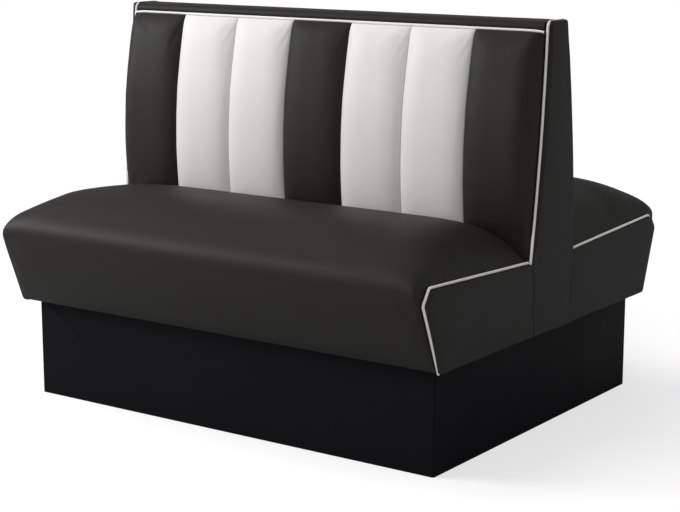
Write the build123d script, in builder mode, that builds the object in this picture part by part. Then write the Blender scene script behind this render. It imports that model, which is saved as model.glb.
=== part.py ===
# Double-sided restaurant booth: two upholstered benches back to back on one plinth, with a
# channelled back between them. Millimetres, +Z up, +X along the bench. The origin is on the floor
# under the centre, and the front bench faces -Y.
import os

from build123d import *

os.makedirs("parts", exist_ok=True)

# Overall sizes; the half width is to the middle of the end piping
booth_half_width = 598
booth_height = 941
fit_gap = 0.3
cut_overrun = 2

# Piping in the edge seams, and the padded side panels that it runs round
piping_radius = 3.5
piping_sides = 8
piping_turn_radius = 10.5
side_pad = 5

# Plinth
plinth_half_width = 573
plinth_half_depth = 449
plinth_height = 236
plinth_board = 18
plinth_skin = 1.5
plinth_corner_radius = 8
glide_height = 3
glide_radius = 8
block_side = 45
block_height = 120
bearer_board = 18
bearer_height = 120
rib_place = 190

# Seat frame and the flat outline that its ends keep
seat_overhang = 24
seat_nose_depth = 537
seat_nose_height = 394
seat_bevel_back = 23
seat_bevel_rise = 34
seat_rear_depth = 98
seat_rear_height = 410
seam_foot_depth = 84
base_board = 12
deck_board = 12
deck_top = 388
seat_board = 18
front_pad = 14
vent_radius = 30
vent_count = 3

# Crown of the seat cushion over the middle of the bench, as moves from the flat outline
crown_nose_lift = 26
crown_nose_draw = 5.5
crown_shoulder_back = 25
crown_shoulder_lift = 57.5
crown_peak_back = 144
crown_peak_lift = 111
crown_lip_run = 38
crown_lip_lift = 84
crown_tuck_lift = 42
flat_peak_back = 184
flat_tuck_drop = 3
cover_skin = 3
front_bulge = 5
nose_bulge = 12.7
brow_bulge = 13.2
slope_bulge = 4
lip_bulge = 5
least_bulge = 0.4
crown_power = 7.67
crown_root = 1.95
end_crown_share = 0.05
crown_station_shares = (0.992, 0.97, 0.93, 0.86, 0.76, 0.58)

# Back frame and its side outline
back_foot_depth = 96
back_foot_height = 408
back_top_depth = 39.5
back_corner_radius = 14
post_width = 60
post_ledge_drop = 12
board_foot_depth = 80
board_top_depth = 25
board_thickness = 9
top_rail_height = 36
top_rail_half_depth = 15.7
low_rail_height = 60
low_rail_thickness = 40

# Channels of the back, in shares of their height, stand-off and crown
channel_count = 7
channel_inset = 3
channel_stand = 48
channel_crown = 13
channel_roll = 46
channel_roll_share = 0.28
channel_shoulder_share = 0.8
channel_top_gap = 0.7
height_shares = (0, 0.084, 0.127, 0.151, 0.177, 0.26, 0.363, 0.519, 0.658, 0.771, 0.862, 0.929, 0.97, 1)
stand_shares = (0, 0.02, 0.08, 0.25, 0.46, 0.64, 0.79, 0.925, 1, 0.92, 0.82, 0.6, 0.42, 0.22)
crown_shares = (0.05, 0.1, 0.25, 0.5, 0.85, 1, 1, 1, 1, 1, 1, 0.95, 0.75, 0.3)

# Top cap, and the piping between it and the channels
cap_pad = 20
cap_half_depth = 45
cap_shoulder_depth = 30
cap_side_bulge = 4.5
cap_crown = 1
cross_piping_depth = 49
cross_piping_drop = 1
side_piping_drop = 1.5

# Through bolts that clamp both benches to the posts
bolt_radius = 5
bolt_clearance = 0.5
bolt_head_radius = 8.5
bolt_head_sides = 6
bolt_head_height = 6.4
nut_height = 8
nut_clearance = 0.1
bolt_tail = 4
bolt_inset = 20
bolt_height = 310

# Places that follow from the sizes above
seat_low_depth = plinth_half_depth + seat_overhang
seat_bevel_depth = seat_nose_depth - seat_bevel_back
seat_bevel_height = seat_nose_height + seat_bevel_rise
post_ledge_height = back_foot_height - post_ledge_drop
board_top_height = booth_height - cap_pad
cross_piping_height = board_top_height - cross_piping_drop
channel_top_height = cross_piping_height - piping_radius - channel_top_gap
seam_inset = piping_radius + fit_gap
side_inner = booth_half_width - side_pad
cover_end = side_inner - fit_gap
base_top = plinth_height + base_board
deck_low = deck_top - deck_board
front_slope = (seat_nose_depth - seat_low_depth) / (seat_nose_height - plinth_height)
top_slope = (seat_bevel_height - seat_rear_height) / (seat_bevel_depth - seat_rear_depth)
benches = (("front", -1), ("rear", 1))
ends = (("left", -1), ("right", 1))


def bench_plane(facing, place=0):
    """Upright plane across the bench: local X points out of the seat and local Y points up."""
    return Plane(origin=(place, 0, 0), x_dir=(0, facing, 0), z_dir=(facing, 0, 0))


def front_line(height):
    """Depth of the slanted front board's outer face."""
    return seat_low_depth - front_pad + (height - plinth_height) * front_slope


def edge_line(height):
    """Depth of the back's side edge, where its piping runs."""
    share = (height - back_foot_height) / (booth_height - back_foot_height)
    return back_foot_depth + (back_top_depth - back_foot_depth) * share


def board_line(height):
    """Depth of the outer face of the board behind the channels."""
    share = (height - post_ledge_height) / (board_top_height - post_ledge_height)
    return board_foot_depth + (board_top_depth - board_foot_depth) * share


def inset_corners(corners, inset):
    """Corners of a run of edges moved inwards, to the left of the way it runs, at equal distance."""
    normals = []
    for before, after in zip(corners, corners[1:]):
        run = (after - before).normalized()
        normals.append(Vector(-run.Y, run.X))
    moved = [corners[0] + Vector(inset / normals[0].X, 0)]
    for corner, left, right in zip(corners[1:-1], normals, normals[1:]):
        both = (left + right).normalized()
        moved.append(corner + both * (inset / both.dot(left)))
    moved.append(corners[-1] + normals[-1] * inset)
    return moved


# Plinth boards
wall_half_width = plinth_half_width - plinth_skin
wall_half_depth = plinth_half_depth - plinth_skin
wall_height = plinth_height - glide_height
hollow_half_width = wall_half_width - plinth_board
hollow_half_depth = wall_half_depth - plinth_board
board_corner_radius = plinth_corner_radius - plinth_skin

for bench, facing in benches:
    with BuildPart() as plinth_long_board:
        with BuildSketch(Plane.XY.offset(glide_height)):
            with Locations((0, facing * (wall_half_depth - plinth_board / 2))):
                Rectangle(2 * hollow_half_width, plinth_board)
        extrude(amount=wall_height)
    plinth_long_board.part.label = f"plinth_{bench}_board"
    export_step(plinth_long_board.part, f"parts/{plinth_long_board.part.label}.step")

for end, side in ends:
    with BuildPart() as plinth_side_board:
        with BuildSketch(Plane.XY.offset(glide_height)):
            with Locations((side * (wall_half_width - plinth_board / 2), 0)):
                Rectangle(plinth_board, 2 * wall_half_depth)
        extrude(amount=wall_height)
        upright_edges = plinth_side_board.edges().filter_by(Axis.Z)
        fillet(upright_edges.sort_by(lambda edge: -side * edge.center().X)[:2], radius=board_corner_radius)
    plinth_side_board.part.label = f"plinth_{end}_board"
    export_step(plinth_side_board.part, f"parts/{plinth_side_board.part.label}.step")

# Bearers in the plinth: one along it under the posts, and four across it under the ribs
cross_bearer_run = hollow_half_depth - bearer_board / 2
cross_bearer_middle = (hollow_half_depth + bearer_board / 2) / 2
with BuildPart() as plinth_bearers:
    with BuildSketch(Plane.XY.offset(glide_height)):
        Rectangle(2 * hollow_half_width, bearer_board)
    extrude(amount=wall_height)
    with BuildSketch(Plane.XY.offset(plinth_height - bearer_height)):
        with GridLocations(2 * rib_place, 2 * cross_bearer_middle, 2, 2):
            Rectangle(bearer_board, cross_bearer_run)
    extrude(amount=bearer_height)
plinth_bearers.part.label = "plinth_bearers"
export_step(plinth_bearers.part, "parts/plinth_bearers.step")

with BuildPart() as plinth_corner_blocks:
    block_places_x = 2 * hollow_half_width - block_side
    block_places_y = 2 * hollow_half_depth - block_side
    with BuildSketch(Plane.XY.offset(plinth_height - block_height)):
        with GridLocations(block_places_x, block_places_y, 2, 2):
            Rectangle(block_side, block_side)
    extrude(amount=block_height)
    inner_corners = [
        edge
        for edge in plinth_corner_blocks.edges().filter_by(Axis.Z)
        if abs(edge.center().X) < block_places_x / 2 and abs(edge.center().Y) < block_places_y / 2
    ]
    chamfer(inner_corners, length=block_side / 2)
plinth_corner_blocks.part.label = "plinth_corner_blocks"
export_step(plinth_corner_blocks.part, "parts/plinth_corner_blocks.step")

# Leatherette stretched round the plinth
with BuildPart() as plinth_cover:
    with BuildSketch(Plane.XY.offset(glide_height + plinth_skin)):
        RectangleRounded(2 * plinth_half_width, 2 * plinth_half_depth, plinth_corner_radius)
        RectangleRounded(2 * wall_half_width, 2 * wall_half_depth, board_corner_radius, mode=Mode.SUBTRACT)
    extrude(amount=wall_height - plinth_skin)
plinth_cover.part.label = "plinth_cover"
export_step(plinth_cover.part, "parts/plinth_cover.step")

# Nail-on glides under the four corners of the side boards and the middle of the long bearer
with BuildPart() as glides:
    with BuildSketch():
        with GridLocations(2 * wall_half_width - plinth_board, 2 * wall_half_depth - plinth_board, 2, 2):
            Circle(glide_radius)
        Circle(glide_radius)
    extrude(amount=glide_height)
glides.part.label = "glides"
export_step(glides.part, "parts/glides.step")

# Corners of the seat outline, from its front foot over the top to its back, flat and crowned
flat_peak_depth = seat_bevel_depth - flat_peak_back
lip_depth = seat_rear_depth + crown_lip_run
nose_depth_step = crown_nose_lift * front_slope - crown_nose_draw
flat_corners = (
    Vector(seat_low_depth, plinth_height),
    Vector(seat_nose_depth, seat_nose_height),
    Vector(seat_bevel_depth, seat_bevel_height),
    Vector(flat_peak_depth, seat_rear_height + (flat_peak_depth - seat_rear_depth) * top_slope),
    Vector(lip_depth, seat_rear_height + crown_lip_run * top_slope),
    Vector(seat_rear_depth, seat_rear_height - flat_tuck_drop),
    Vector(seat_rear_depth, deck_top),
)
crown_corners = (
    Vector(seat_low_depth, plinth_height),
    Vector(seat_nose_depth + nose_depth_step, seat_nose_height + crown_nose_lift),
    Vector(seat_bevel_depth - crown_shoulder_back, seat_bevel_height + crown_shoulder_lift),
    Vector(seat_bevel_depth - crown_peak_back, seat_rear_height + crown_peak_lift),
    Vector(lip_depth, seat_rear_height + crown_lip_lift),
    Vector(seat_rear_depth, seat_rear_height + crown_tuck_lift),
    Vector(seat_rear_depth, deck_top),
)
crown_bulges = (front_bulge, nose_bulge, brow_bulge, slope_bulge, lip_bulge)


def crown_share(share):
    """Share of the full crown at a share of the bench's half width: a flat loaf with steep ends."""
    return max((1 - share**crown_power) ** (1 / crown_root), end_crown_share)


def seat_corners(crown, inset):
    """Corners of the seat outline at a share of the crown, moved inwards by an inset."""
    return inset_corners(
        [flat * (1 - crown) + full * crown for flat, full in zip(flat_corners, crown_corners)], inset
    )


def seat_run(corners, crown):
    """Draws the outline: arcs over the crown, then the straight drop behind the cushion."""
    for start, finish, bulge in zip(corners, corners[1:], crown_bulges):
        SagittaArc(start, finish, -max(bulge * crown, least_bulge))
    Line(corners[-2], corners[-1])


# Bolt holes through the rails and posts, seen from the front bench
bolt_plane = Plane(origin=(0, 0, 0), x_dir=(1, 0, 0), z_dir=(0, -1, 0))
bolt_column = side_inner - post_width + bolt_inset
bolt_places = [(-bolt_column, bolt_height), (0, bolt_height), (bolt_column, bolt_height)]
clamp_face = seat_rear_depth + seat_board
station_shares = (1, *crown_station_shares)
stations = [(-share, share) for share in station_shares] + [(share, share) for share in station_shares[::-1]]

for bench, facing in benches:
    # Boards of the seat box, all flush with the slanted front board
    with BuildPart() as seat_base_board:
        with BuildSketch(bench_plane(facing)):
            with BuildLine():
                Polyline(
                    (seat_rear_depth, plinth_height),
                    (front_line(plinth_height), plinth_height),
                    (front_line(base_top), base_top),
                    (seat_rear_depth, base_top),
                    close=True,
                )
            make_face()
        extrude(amount=side_inner, both=True)
    seat_base_board.part.label = f"{bench}_seat_base_board"
    export_step(seat_base_board.part, f"parts/{seat_base_board.part.label}.step")

    with BuildPart() as seat_front_board:
        with BuildSketch(bench_plane(facing)):
            with BuildLine():
                Polyline(
                    (front_line(base_top) - seat_board, base_top),
                    (front_line(base_top), base_top),
                    (front_line(deck_low), deck_low),
                    (front_line(deck_low) - seat_board, deck_low),
                    close=True,
                )
            make_face()
        extrude(amount=side_inner, both=True)
    seat_front_board.part.label = f"{bench}_seat_front_board"
    export_step(seat_front_board.part, f"parts/{seat_front_board.part.label}.step")

    with BuildPart() as seat_back_rail:
        with BuildSketch(bench_plane(facing)):
            with BuildLine():
                Polyline(
                    (seat_rear_depth, base_top),
                    (clamp_face, base_top),
                    (clamp_face, deck_low),
                    (seat_rear_depth, deck_low),
                    close=True,
                )
            make_face()
        extrude(amount=side_inner, both=True)
        with BuildSketch(bolt_plane):
            with Locations(*bolt_places):
                Circle(bolt_radius + bolt_clearance)
        extrude(amount=clamp_face + cut_overrun, both=True, mode=Mode.SUBTRACT)
    seat_back_rail.part.label = f"{bench}_seat_back_rail"
    export_step(seat_back_rail.part, f"parts/{seat_back_rail.part.label}.step")

    # End boards and ribs share one profile between the back rail and the front board
    rib_profile = (
        (clamp_face, base_top),
        (front_line(base_top) - seat_board, base_top),
        (front_line(deck_low) - seat_board, deck_low),
        (clamp_face, deck_low),
    )
    for end, side in ends:
        with BuildPart() as seat_end_board:
            with BuildSketch(bench_plane(facing, side * (side_inner - seat_board / 2))):
                with BuildLine():
                    Polyline(*rib_profile, close=True)
                make_face()
            extrude(amount=seat_board / 2, both=True)
        seat_end_board.part.label = f"{bench}_seat_{end}_end_board"
        export_step(seat_end_board.part, f"parts/{seat_end_board.part.label}.step")

    with BuildPart() as seat_ribs:
        with BuildSketch(bench_plane(facing, -rib_place), bench_plane(facing, rib_place)):
            with BuildLine():
                Polyline(*rib_profile, close=True)
            make_face()
        extrude(amount=seat_board / 2, both=True)
    seat_ribs.part.label = f"{bench}_seat_ribs"
    export_step(seat_ribs.part, f"parts/{seat_ribs.part.label}.step")

    # Deck with vent holes, so that the cushion breathes
    deck_depth = front_line(deck_low) - seat_rear_depth
    deck_middle = facing * (seat_rear_depth + deck_depth / 2)
    with BuildPart() as seat_deck:
        with BuildSketch(Plane.XY.offset(deck_low)):
            with Locations((0, deck_middle)):
                Rectangle(2 * side_inner, deck_depth)
                with GridLocations(2 * side_inner / vent_count, 0, vent_count, 1):
                    Circle(vent_radius, mode=Mode.SUBTRACT)
        extrude(amount=deck_board)
    seat_deck.part.label = f"{bench}_seat_deck"
    export_step(seat_deck.part, f"parts/{seat_deck.part.label}.step")

    # Crowned foam over the deck, with a flap down the front board
    foam_inset = cover_skin + fit_gap
    with BuildPart() as seat_foam:
        for place, share in stations:
            crown = crown_share(share)
            corners = seat_corners(crown, foam_inset)
            with BuildSketch(bench_plane(facing, place * cover_end)):
                with BuildLine():
                    seat_run(corners, crown)
                    Polyline(
                        corners[-1],
                        (front_line(deck_top) + fit_gap, deck_top),
                        (front_line(plinth_height) + fit_gap, plinth_height),
                        corners[0],
                    )
                make_face()
        loft(ruled=True)
    seat_foam.part.label = f"{bench}_seat_foam"
    export_step(seat_foam.part, f"parts/{seat_foam.part.label}.step")

    # Cover: one sheet over the foam, from the crevice at the back to the foot of the front
    with BuildPart() as seat_cover:
        for place, share in stations:
            crown = crown_share(share)
            outer = seat_corners(crown, 0)
            inner = seat_corners(crown, cover_skin)
            with BuildSketch(bench_plane(facing, place * cover_end)):
                with BuildLine():
                    seat_run(outer, crown)
                    Line(outer[-1], inner[-1])
                    seat_run(inner, crown)
                    Line(inner[0], outer[0])
                make_face()
        loft(ruled=True)
    seat_cover.part.label = f"{bench}_seat_cover"
    export_step(seat_cover.part, f"parts/{seat_cover.part.label}.step")

    # Padded side panels, drawn in from the piping by its radius
    panel_corners = inset_corners(
        [
            Vector(seat_low_depth, plinth_height),
            Vector(seat_nose_depth, seat_nose_height),
            Vector(seat_bevel_depth, seat_bevel_height),
            Vector(seat_rear_depth, seat_rear_height),
        ],
        seam_inset,
    )
    for end, side in ends:
        with BuildPart() as seat_side_panel:
            with BuildSketch(bench_plane(facing, side * (booth_half_width - side_pad / 2))):
                with BuildLine():
                    Polyline(*panel_corners, (seam_foot_depth, plinth_height), close=True)
                make_face()
            extrude(amount=side_pad / 2, both=True)
            panel_edges = seat_side_panel.edges().filter_by(Axis.X)
            nose_edges = panel_edges.sort_by(lambda edge: facing * edge.center().Y)[-2:]
            fillet(nose_edges, radius=piping_turn_radius - seam_inset)
        seat_side_panel.part.label = f"{bench}_seat_{end}_side_panel"
        export_step(seat_side_panel.part, f"parts/{seat_side_panel.part.label}.step")

    # Piping round the side panels, one run at each end of the bench
    with BuildPart() as seat_piping:
        for _, side in ends:
            with BuildLine(bench_plane(facing, side * booth_half_width)) as seat_seam:
                FilletPolyline(
                    (seat_low_depth, plinth_height),
                    (seat_nose_depth, seat_nose_height),
                    (seat_bevel_depth, seat_bevel_height),
                    (back_foot_depth + 2 * piping_radius + fit_gap, seat_rear_height),
                    radius=piping_turn_radius,
                )
            with BuildSketch(Plane(seat_seam.wire() @ 0, z_dir=seat_seam.wire() % 0)):
                RegularPolygon(piping_radius, piping_sides)
            sweep(path=seat_seam.wire())
    seat_piping.part.label = f"{bench}_seat_piping"
    export_step(seat_piping.part, f"parts/{seat_piping.part.label}.step")

# Posts: a foot as deep as both benches leave, a ledge for the boards, and a tapered upper part
post_top = board_top_height - top_rail_height
post_places = (
    ("left", -(side_inner - post_width / 2)),
    ("middle", 0),
    ("right", side_inner - post_width / 2),
)
for place_name, place in post_places:
    with BuildPart() as back_post:
        with BuildSketch(bench_plane(1, place)):
            with BuildLine():
                Polyline(
                    (0, plinth_height),
                    (seat_rear_depth, plinth_height),
                    (seat_rear_depth, post_ledge_height),
                    (board_line(post_ledge_height) - board_thickness, post_ledge_height),
                    (board_line(post_top) - board_thickness, post_top),
                    (0, post_top),
                    close=True,
                )
            make_face()
            mirror(about=Plane.YZ)
        extrude(amount=post_width / 2, both=True)
        with BuildSketch(bolt_plane):
            with Locations(*bolt_places):
                Circle(bolt_radius + bolt_clearance)
        extrude(amount=seat_rear_depth + cut_overrun, both=True, mode=Mode.SUBTRACT)
    back_post.part.label = f"back_{place_name}_post"
    export_step(back_post.part, f"parts/{back_post.part.label}.step")

# Rails: one on top of the posts, and two low ones between them
with BuildPart() as back_top_rail:
    with BuildSketch(Plane.XY.offset(post_top)):
        Rectangle(2 * side_inner, 2 * top_rail_half_depth)
    extrude(amount=top_rail_height)
back_top_rail.part.label = "back_top_rail"
export_step(back_top_rail.part, "parts/back_top_rail.step")

low_rail_run = side_inner - 3 * post_width / 2
with BuildPart() as back_low_rails:
    with BuildSketch(Plane.XY.offset(plinth_height)):
        with GridLocations(low_rail_run + post_width, 0, 2, 1):
            Rectangle(low_rail_run, low_rail_thickness)
    extrude(amount=low_rail_height)
back_low_rails.part.label = "back_low_rails"
export_step(back_low_rails.part, "parts/back_low_rails.step")

# Channels: upright stuffed tubes, drawn in at the seams, bellied, rolled over at the two ends
channel_foot = post_ledge_height + fit_gap
channel_height = channel_top_height - channel_foot
channel_pitch = 2 * side_inner / channel_count
channel_profile = tuple(zip(height_shares, stand_shares, crown_shares))


def rolled_edge(seam, edge, face, crown):
    """Front of an end channel: a low crown from its seam, then a quarter roll to the side edge."""
    shoulder = Vector(edge.X - channel_roll * (1 if edge.X > 0 else -1), 0)
    shoulder += Vector(0, face + crown * channel_shoulder_share)
    turn = 1 if edge.X > seam.X else -1
    SagittaArc(seam, shoulder, turn * max(crown / 2, fit_gap))
    SagittaArc(shoulder, edge, turn * max((shoulder.Y - edge.Y) * channel_roll_share, fit_gap))


for bench, facing in benches:
    with BuildPart() as back_board:
        with BuildSketch(bench_plane(facing)):
            with BuildLine():
                Polyline(
                    (board_line(post_ledge_height) - board_thickness, post_ledge_height),
                    (board_line(post_ledge_height), post_ledge_height),
                    (board_line(board_top_height), board_top_height),
                    (board_line(board_top_height) - board_thickness, board_top_height),
                    close=True,
                )
            make_face()
        extrude(amount=side_inner, both=True)
    back_board.part.label = f"back_{bench}_board"
    export_step(back_board.part, f"parts/{back_board.part.label}.step")

    for number in range(channel_count):
        low_x = number * channel_pitch - side_inner + fit_gap
        high_x = low_x + channel_pitch - 2 * fit_gap
        with BuildPart() as channel:
            for height_share, stand_share, crown_part in channel_profile:
                height = channel_foot + channel_height * height_share
                back = board_line(height) + fit_gap
                side_edge = edge_line(height) - channel_inset
                face = side_edge + channel_stand * stand_share
                crown = channel_crown * crown_part
                section = Plane(origin=(0, 0, height), x_dir=(1, 0, 0), z_dir=(0, 0, facing))
                with BuildSketch(section):
                    with BuildLine():
                        if number == 0:
                            Polyline((low_x, side_edge), (low_x, back), (high_x, back), (high_x, face))
                            rolled_edge(Vector(high_x, face), Vector(low_x, side_edge), face, crown)
                        elif number == channel_count - 1:
                            Polyline((high_x, side_edge), (high_x, back), (low_x, back), (low_x, face))
                            rolled_edge(Vector(low_x, face), Vector(high_x, side_edge), face, crown)
                        else:
                            Polyline((high_x, face), (high_x, back), (low_x, back), (low_x, face))
                            SagittaArc((low_x, face), (high_x, face), crown)
                    make_face()
            loft(ruled=True)
        channel.part.label = f"{bench}_channel_{number + 1}"
        export_step(channel.part, f"parts/{channel.part.label}.step")

    # Piping under the top cap, between the side pipings
    with BuildPart() as back_cross_piping:
        with BuildSketch(bench_plane(facing)):
            with Locations((cross_piping_depth, cross_piping_height)):
                RegularPolygon(piping_radius, piping_sides)
        extrude(amount=booth_half_width - piping_radius - fit_gap, both=True)
    back_cross_piping.part.label = f"back_{bench}_cross_piping"
    export_step(back_cross_piping.part, f"parts/{back_cross_piping.part.label}.step")

# Cap over the top rail, padded and rounded along both edges
shoulder_height = booth_height - cap_crown
with BuildPart() as back_top_cap:
    with BuildSketch(bench_plane(1)):
        with BuildLine():
            Line((-cap_half_depth, board_top_height), (cap_half_depth, board_top_height))
            SagittaArc(
                (cap_half_depth, board_top_height), (cap_shoulder_depth, shoulder_height), -cap_side_bulge
            )
            SagittaArc(
                (cap_shoulder_depth, shoulder_height), (-cap_shoulder_depth, shoulder_height), -cap_crown
            )
            SagittaArc(
                (-cap_shoulder_depth, shoulder_height), (-cap_half_depth, board_top_height), -cap_side_bulge
            )
        make_face()
    extrude(amount=cover_end, both=True)
back_top_cap.part.label = "back_top_cap"
export_step(back_top_cap.part, "parts/back_top_cap.step")

# Side panels of the back, down to the plinth between the two benches' panels
side_top = booth_height - side_piping_drop
for end, side in ends:
    with BuildPart() as back_side_panel:
        with BuildSketch(bench_plane(1, side * (booth_half_width - side_pad / 2))):
            with BuildLine():
                Polyline(
                    (0, plinth_height),
                    (seam_foot_depth - fit_gap, plinth_height),
                    (back_foot_depth - fit_gap, back_foot_height - seam_inset),
                    (back_foot_depth - seam_inset, back_foot_height),
                    (back_top_depth - seam_inset, side_top - seam_inset),
                    (0, side_top - seam_inset),
                    close=True,
                )
            make_face()
            mirror(about=Plane.YZ)
        extrude(amount=side_pad / 2, both=True)
        top_corners = back_side_panel.edges().filter_by(Axis.X).group_by(Axis.Z)[-1]
        fillet(top_corners, radius=back_corner_radius - seam_inset)
    back_side_panel.part.label = f"back_{end}_side_panel"
    export_step(back_side_panel.part, f"parts/{back_side_panel.part.label}.step")

# Piping up one edge of each side panel, over its top and down the other edge
with BuildPart() as back_side_piping:
    for _, side in ends:
        with BuildLine(bench_plane(1, side * booth_half_width)) as back_seam:
            FilletPolyline(
                (back_foot_depth, back_foot_height),
                (back_top_depth, side_top),
                (-back_top_depth, side_top),
                (-back_foot_depth, back_foot_height),
                radius=back_corner_radius,
            )
        with BuildSketch(Plane(back_seam.wire() @ 0, z_dir=back_seam.wire() % 0)):
            RegularPolygon(piping_radius, piping_sides)
        sweep(path=back_seam.wire())
back_side_piping.part.label = "back_side_piping"
export_step(back_side_piping.part, "parts/back_side_piping.step")

# Through bolts and their nuts, clamping rail, post and rail
with BuildPart() as frame_bolts:
    with BuildSketch(bolt_plane.offset(clamp_face)):
        with Locations(*bolt_places):
            RegularPolygon(bolt_head_radius, bolt_head_sides)
    extrude(amount=bolt_head_height)
    with BuildSketch(bolt_plane.offset(clamp_face)):
        with Locations(*bolt_places):
            Circle(bolt_radius)
    extrude(amount=-2 * clamp_face - nut_height - bolt_tail)
    with BuildSketch(bolt_plane.offset(-clamp_face)):
        with Locations(*bolt_places):
            RegularPolygon(bolt_head_radius, bolt_head_sides)
            Circle(bolt_radius + nut_clearance, mode=Mode.SUBTRACT)
    extrude(amount=-nut_height)
frame_bolts.part.label = "frame_bolts"
export_step(frame_bolts.part, "parts/frame_bolts.step")
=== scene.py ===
import math

import bpy
import numpy as np
from mathutils import Matrix, Vector, noise


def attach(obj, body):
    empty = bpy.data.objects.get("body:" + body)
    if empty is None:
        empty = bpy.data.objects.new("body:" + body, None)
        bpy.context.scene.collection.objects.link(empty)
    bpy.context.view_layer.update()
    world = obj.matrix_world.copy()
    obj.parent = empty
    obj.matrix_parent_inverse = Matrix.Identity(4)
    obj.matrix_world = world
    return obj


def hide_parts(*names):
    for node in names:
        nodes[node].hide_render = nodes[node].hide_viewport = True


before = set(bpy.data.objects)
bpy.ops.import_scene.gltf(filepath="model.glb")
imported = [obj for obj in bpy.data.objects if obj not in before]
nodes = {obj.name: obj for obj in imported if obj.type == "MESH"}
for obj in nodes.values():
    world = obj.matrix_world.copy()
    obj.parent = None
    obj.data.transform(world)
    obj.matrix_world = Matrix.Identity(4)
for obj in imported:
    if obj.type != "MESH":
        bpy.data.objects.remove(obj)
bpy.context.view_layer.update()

scene = bpy.context.scene
print("frame loaded,", len(nodes), "nodes")

# the outer sizes that several pieces share, in metres
booth = {
    "halfWidth": 0.598,          # to the middle of the end piping
    "coverEnd": 0.5927,          # where the upholstery meets the side panels
    "height": 0.941,
    "floorOfSeat": 0.236,
    "pipingRadius": 0.0031,
    "bow": 0.006, "bowFrom": 0.30, "bowTo": 1.02, "bowPower": 1.2,   # the stuffed back pushes its ends out
}


# how far the ends of the back stand out at a height
def bowAt(height):
    share = np.clip((np.asarray(height) - booth["bowFrom"]) / (booth["bowTo"] - booth["bowFrom"]), 0, 1)
    return booth["bow"] * np.sin(math.pi * share) ** booth["bowPower"]


# an sRGB hex code as a linear colour
def hexColour(code):
    parts = [int(code[i:i + 2], 16) / 255 for i in (1, 3, 5)]
    return tuple(p / 12.92 if p <= 0.04045 else ((p + 0.055) / 1.055) ** 2.4 for p in parts) + (1.0,)


# adds a node, sets its options and sockets, and joins its inputs to earlier outputs
def addNode(tree, kind, settings=None, links=None):
    node = tree.nodes.new(kind)
    for key, value in (settings or {}).items():
        if isinstance(key, str) and hasattr(node, key):
            setattr(node, key, value)
        else:
            node.inputs[key].default_value = value
    for key, output in (links or {}).items():
        tree.links.new(output, node.inputs[key])
    return node


def newMaterial(name):
    material = bpy.data.materials.new(name)
    material.use_nodes = True
    material.node_tree.nodes.clear()
    return material, material.node_tree


# a shallow fold pressed into a stretched cover, along a line on its front
def addCrease(tree, place, normal, crease):
    start, finish = Vector(crease["from"]), Vector(crease["to"])
    way = (finish - start).normalized()
    across = Vector((-way.z, 0, way.x))
    middle = (start + finish) / 2
    parts = []
    spans = ((across, 0.0, crease["width"]), (way, crease["fade"], (finish - start).length / 2))
    for direction, full, none in spans:
        level = addNode(tree, "ShaderNodeVectorMath", {"operation": "DOT_PRODUCT", 1: direction},
                        {0: place}).outputs["Value"]
        off = addNode(tree, "ShaderNodeMath", {"operation": "SUBTRACT", 1: middle.dot(direction)},
                      {0: level}).outputs[0]
        away = addNode(tree, "ShaderNodeMath", {"operation": "ABSOLUTE"}, {0: off}).outputs[0]
        parts.append(addNode(tree, "ShaderNodeMapRange",
                             {"interpolation_type": "SMOOTHSTEP", "From Min": none, "From Max": full},
                             {"Value": away}).outputs["Result"])
    depth = addNode(tree, "ShaderNodeSeparateXYZ", None, {0: place}).outputs["Y"]
    front = addNode(tree, "ShaderNodeMath", {"operation": "LESS_THAN", 1: crease["frontY"]},
                    {0: depth}).outputs[0]
    ridge = addNode(tree, "ShaderNodeMath", {"operation": "MULTIPLY"}, {0: parts[0], 1: parts[1]}).outputs[0]
    ridge = addNode(tree, "ShaderNodeMath", {"operation": "MULTIPLY"}, {0: ridge, 1: front}).outputs[0]
    return addNode(tree, "ShaderNodeBump", {"Strength": 1.0, "Distance": crease["height"]},
                   {"Height": ridge, "Normal": normal}).outputs["Normal"]


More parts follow.
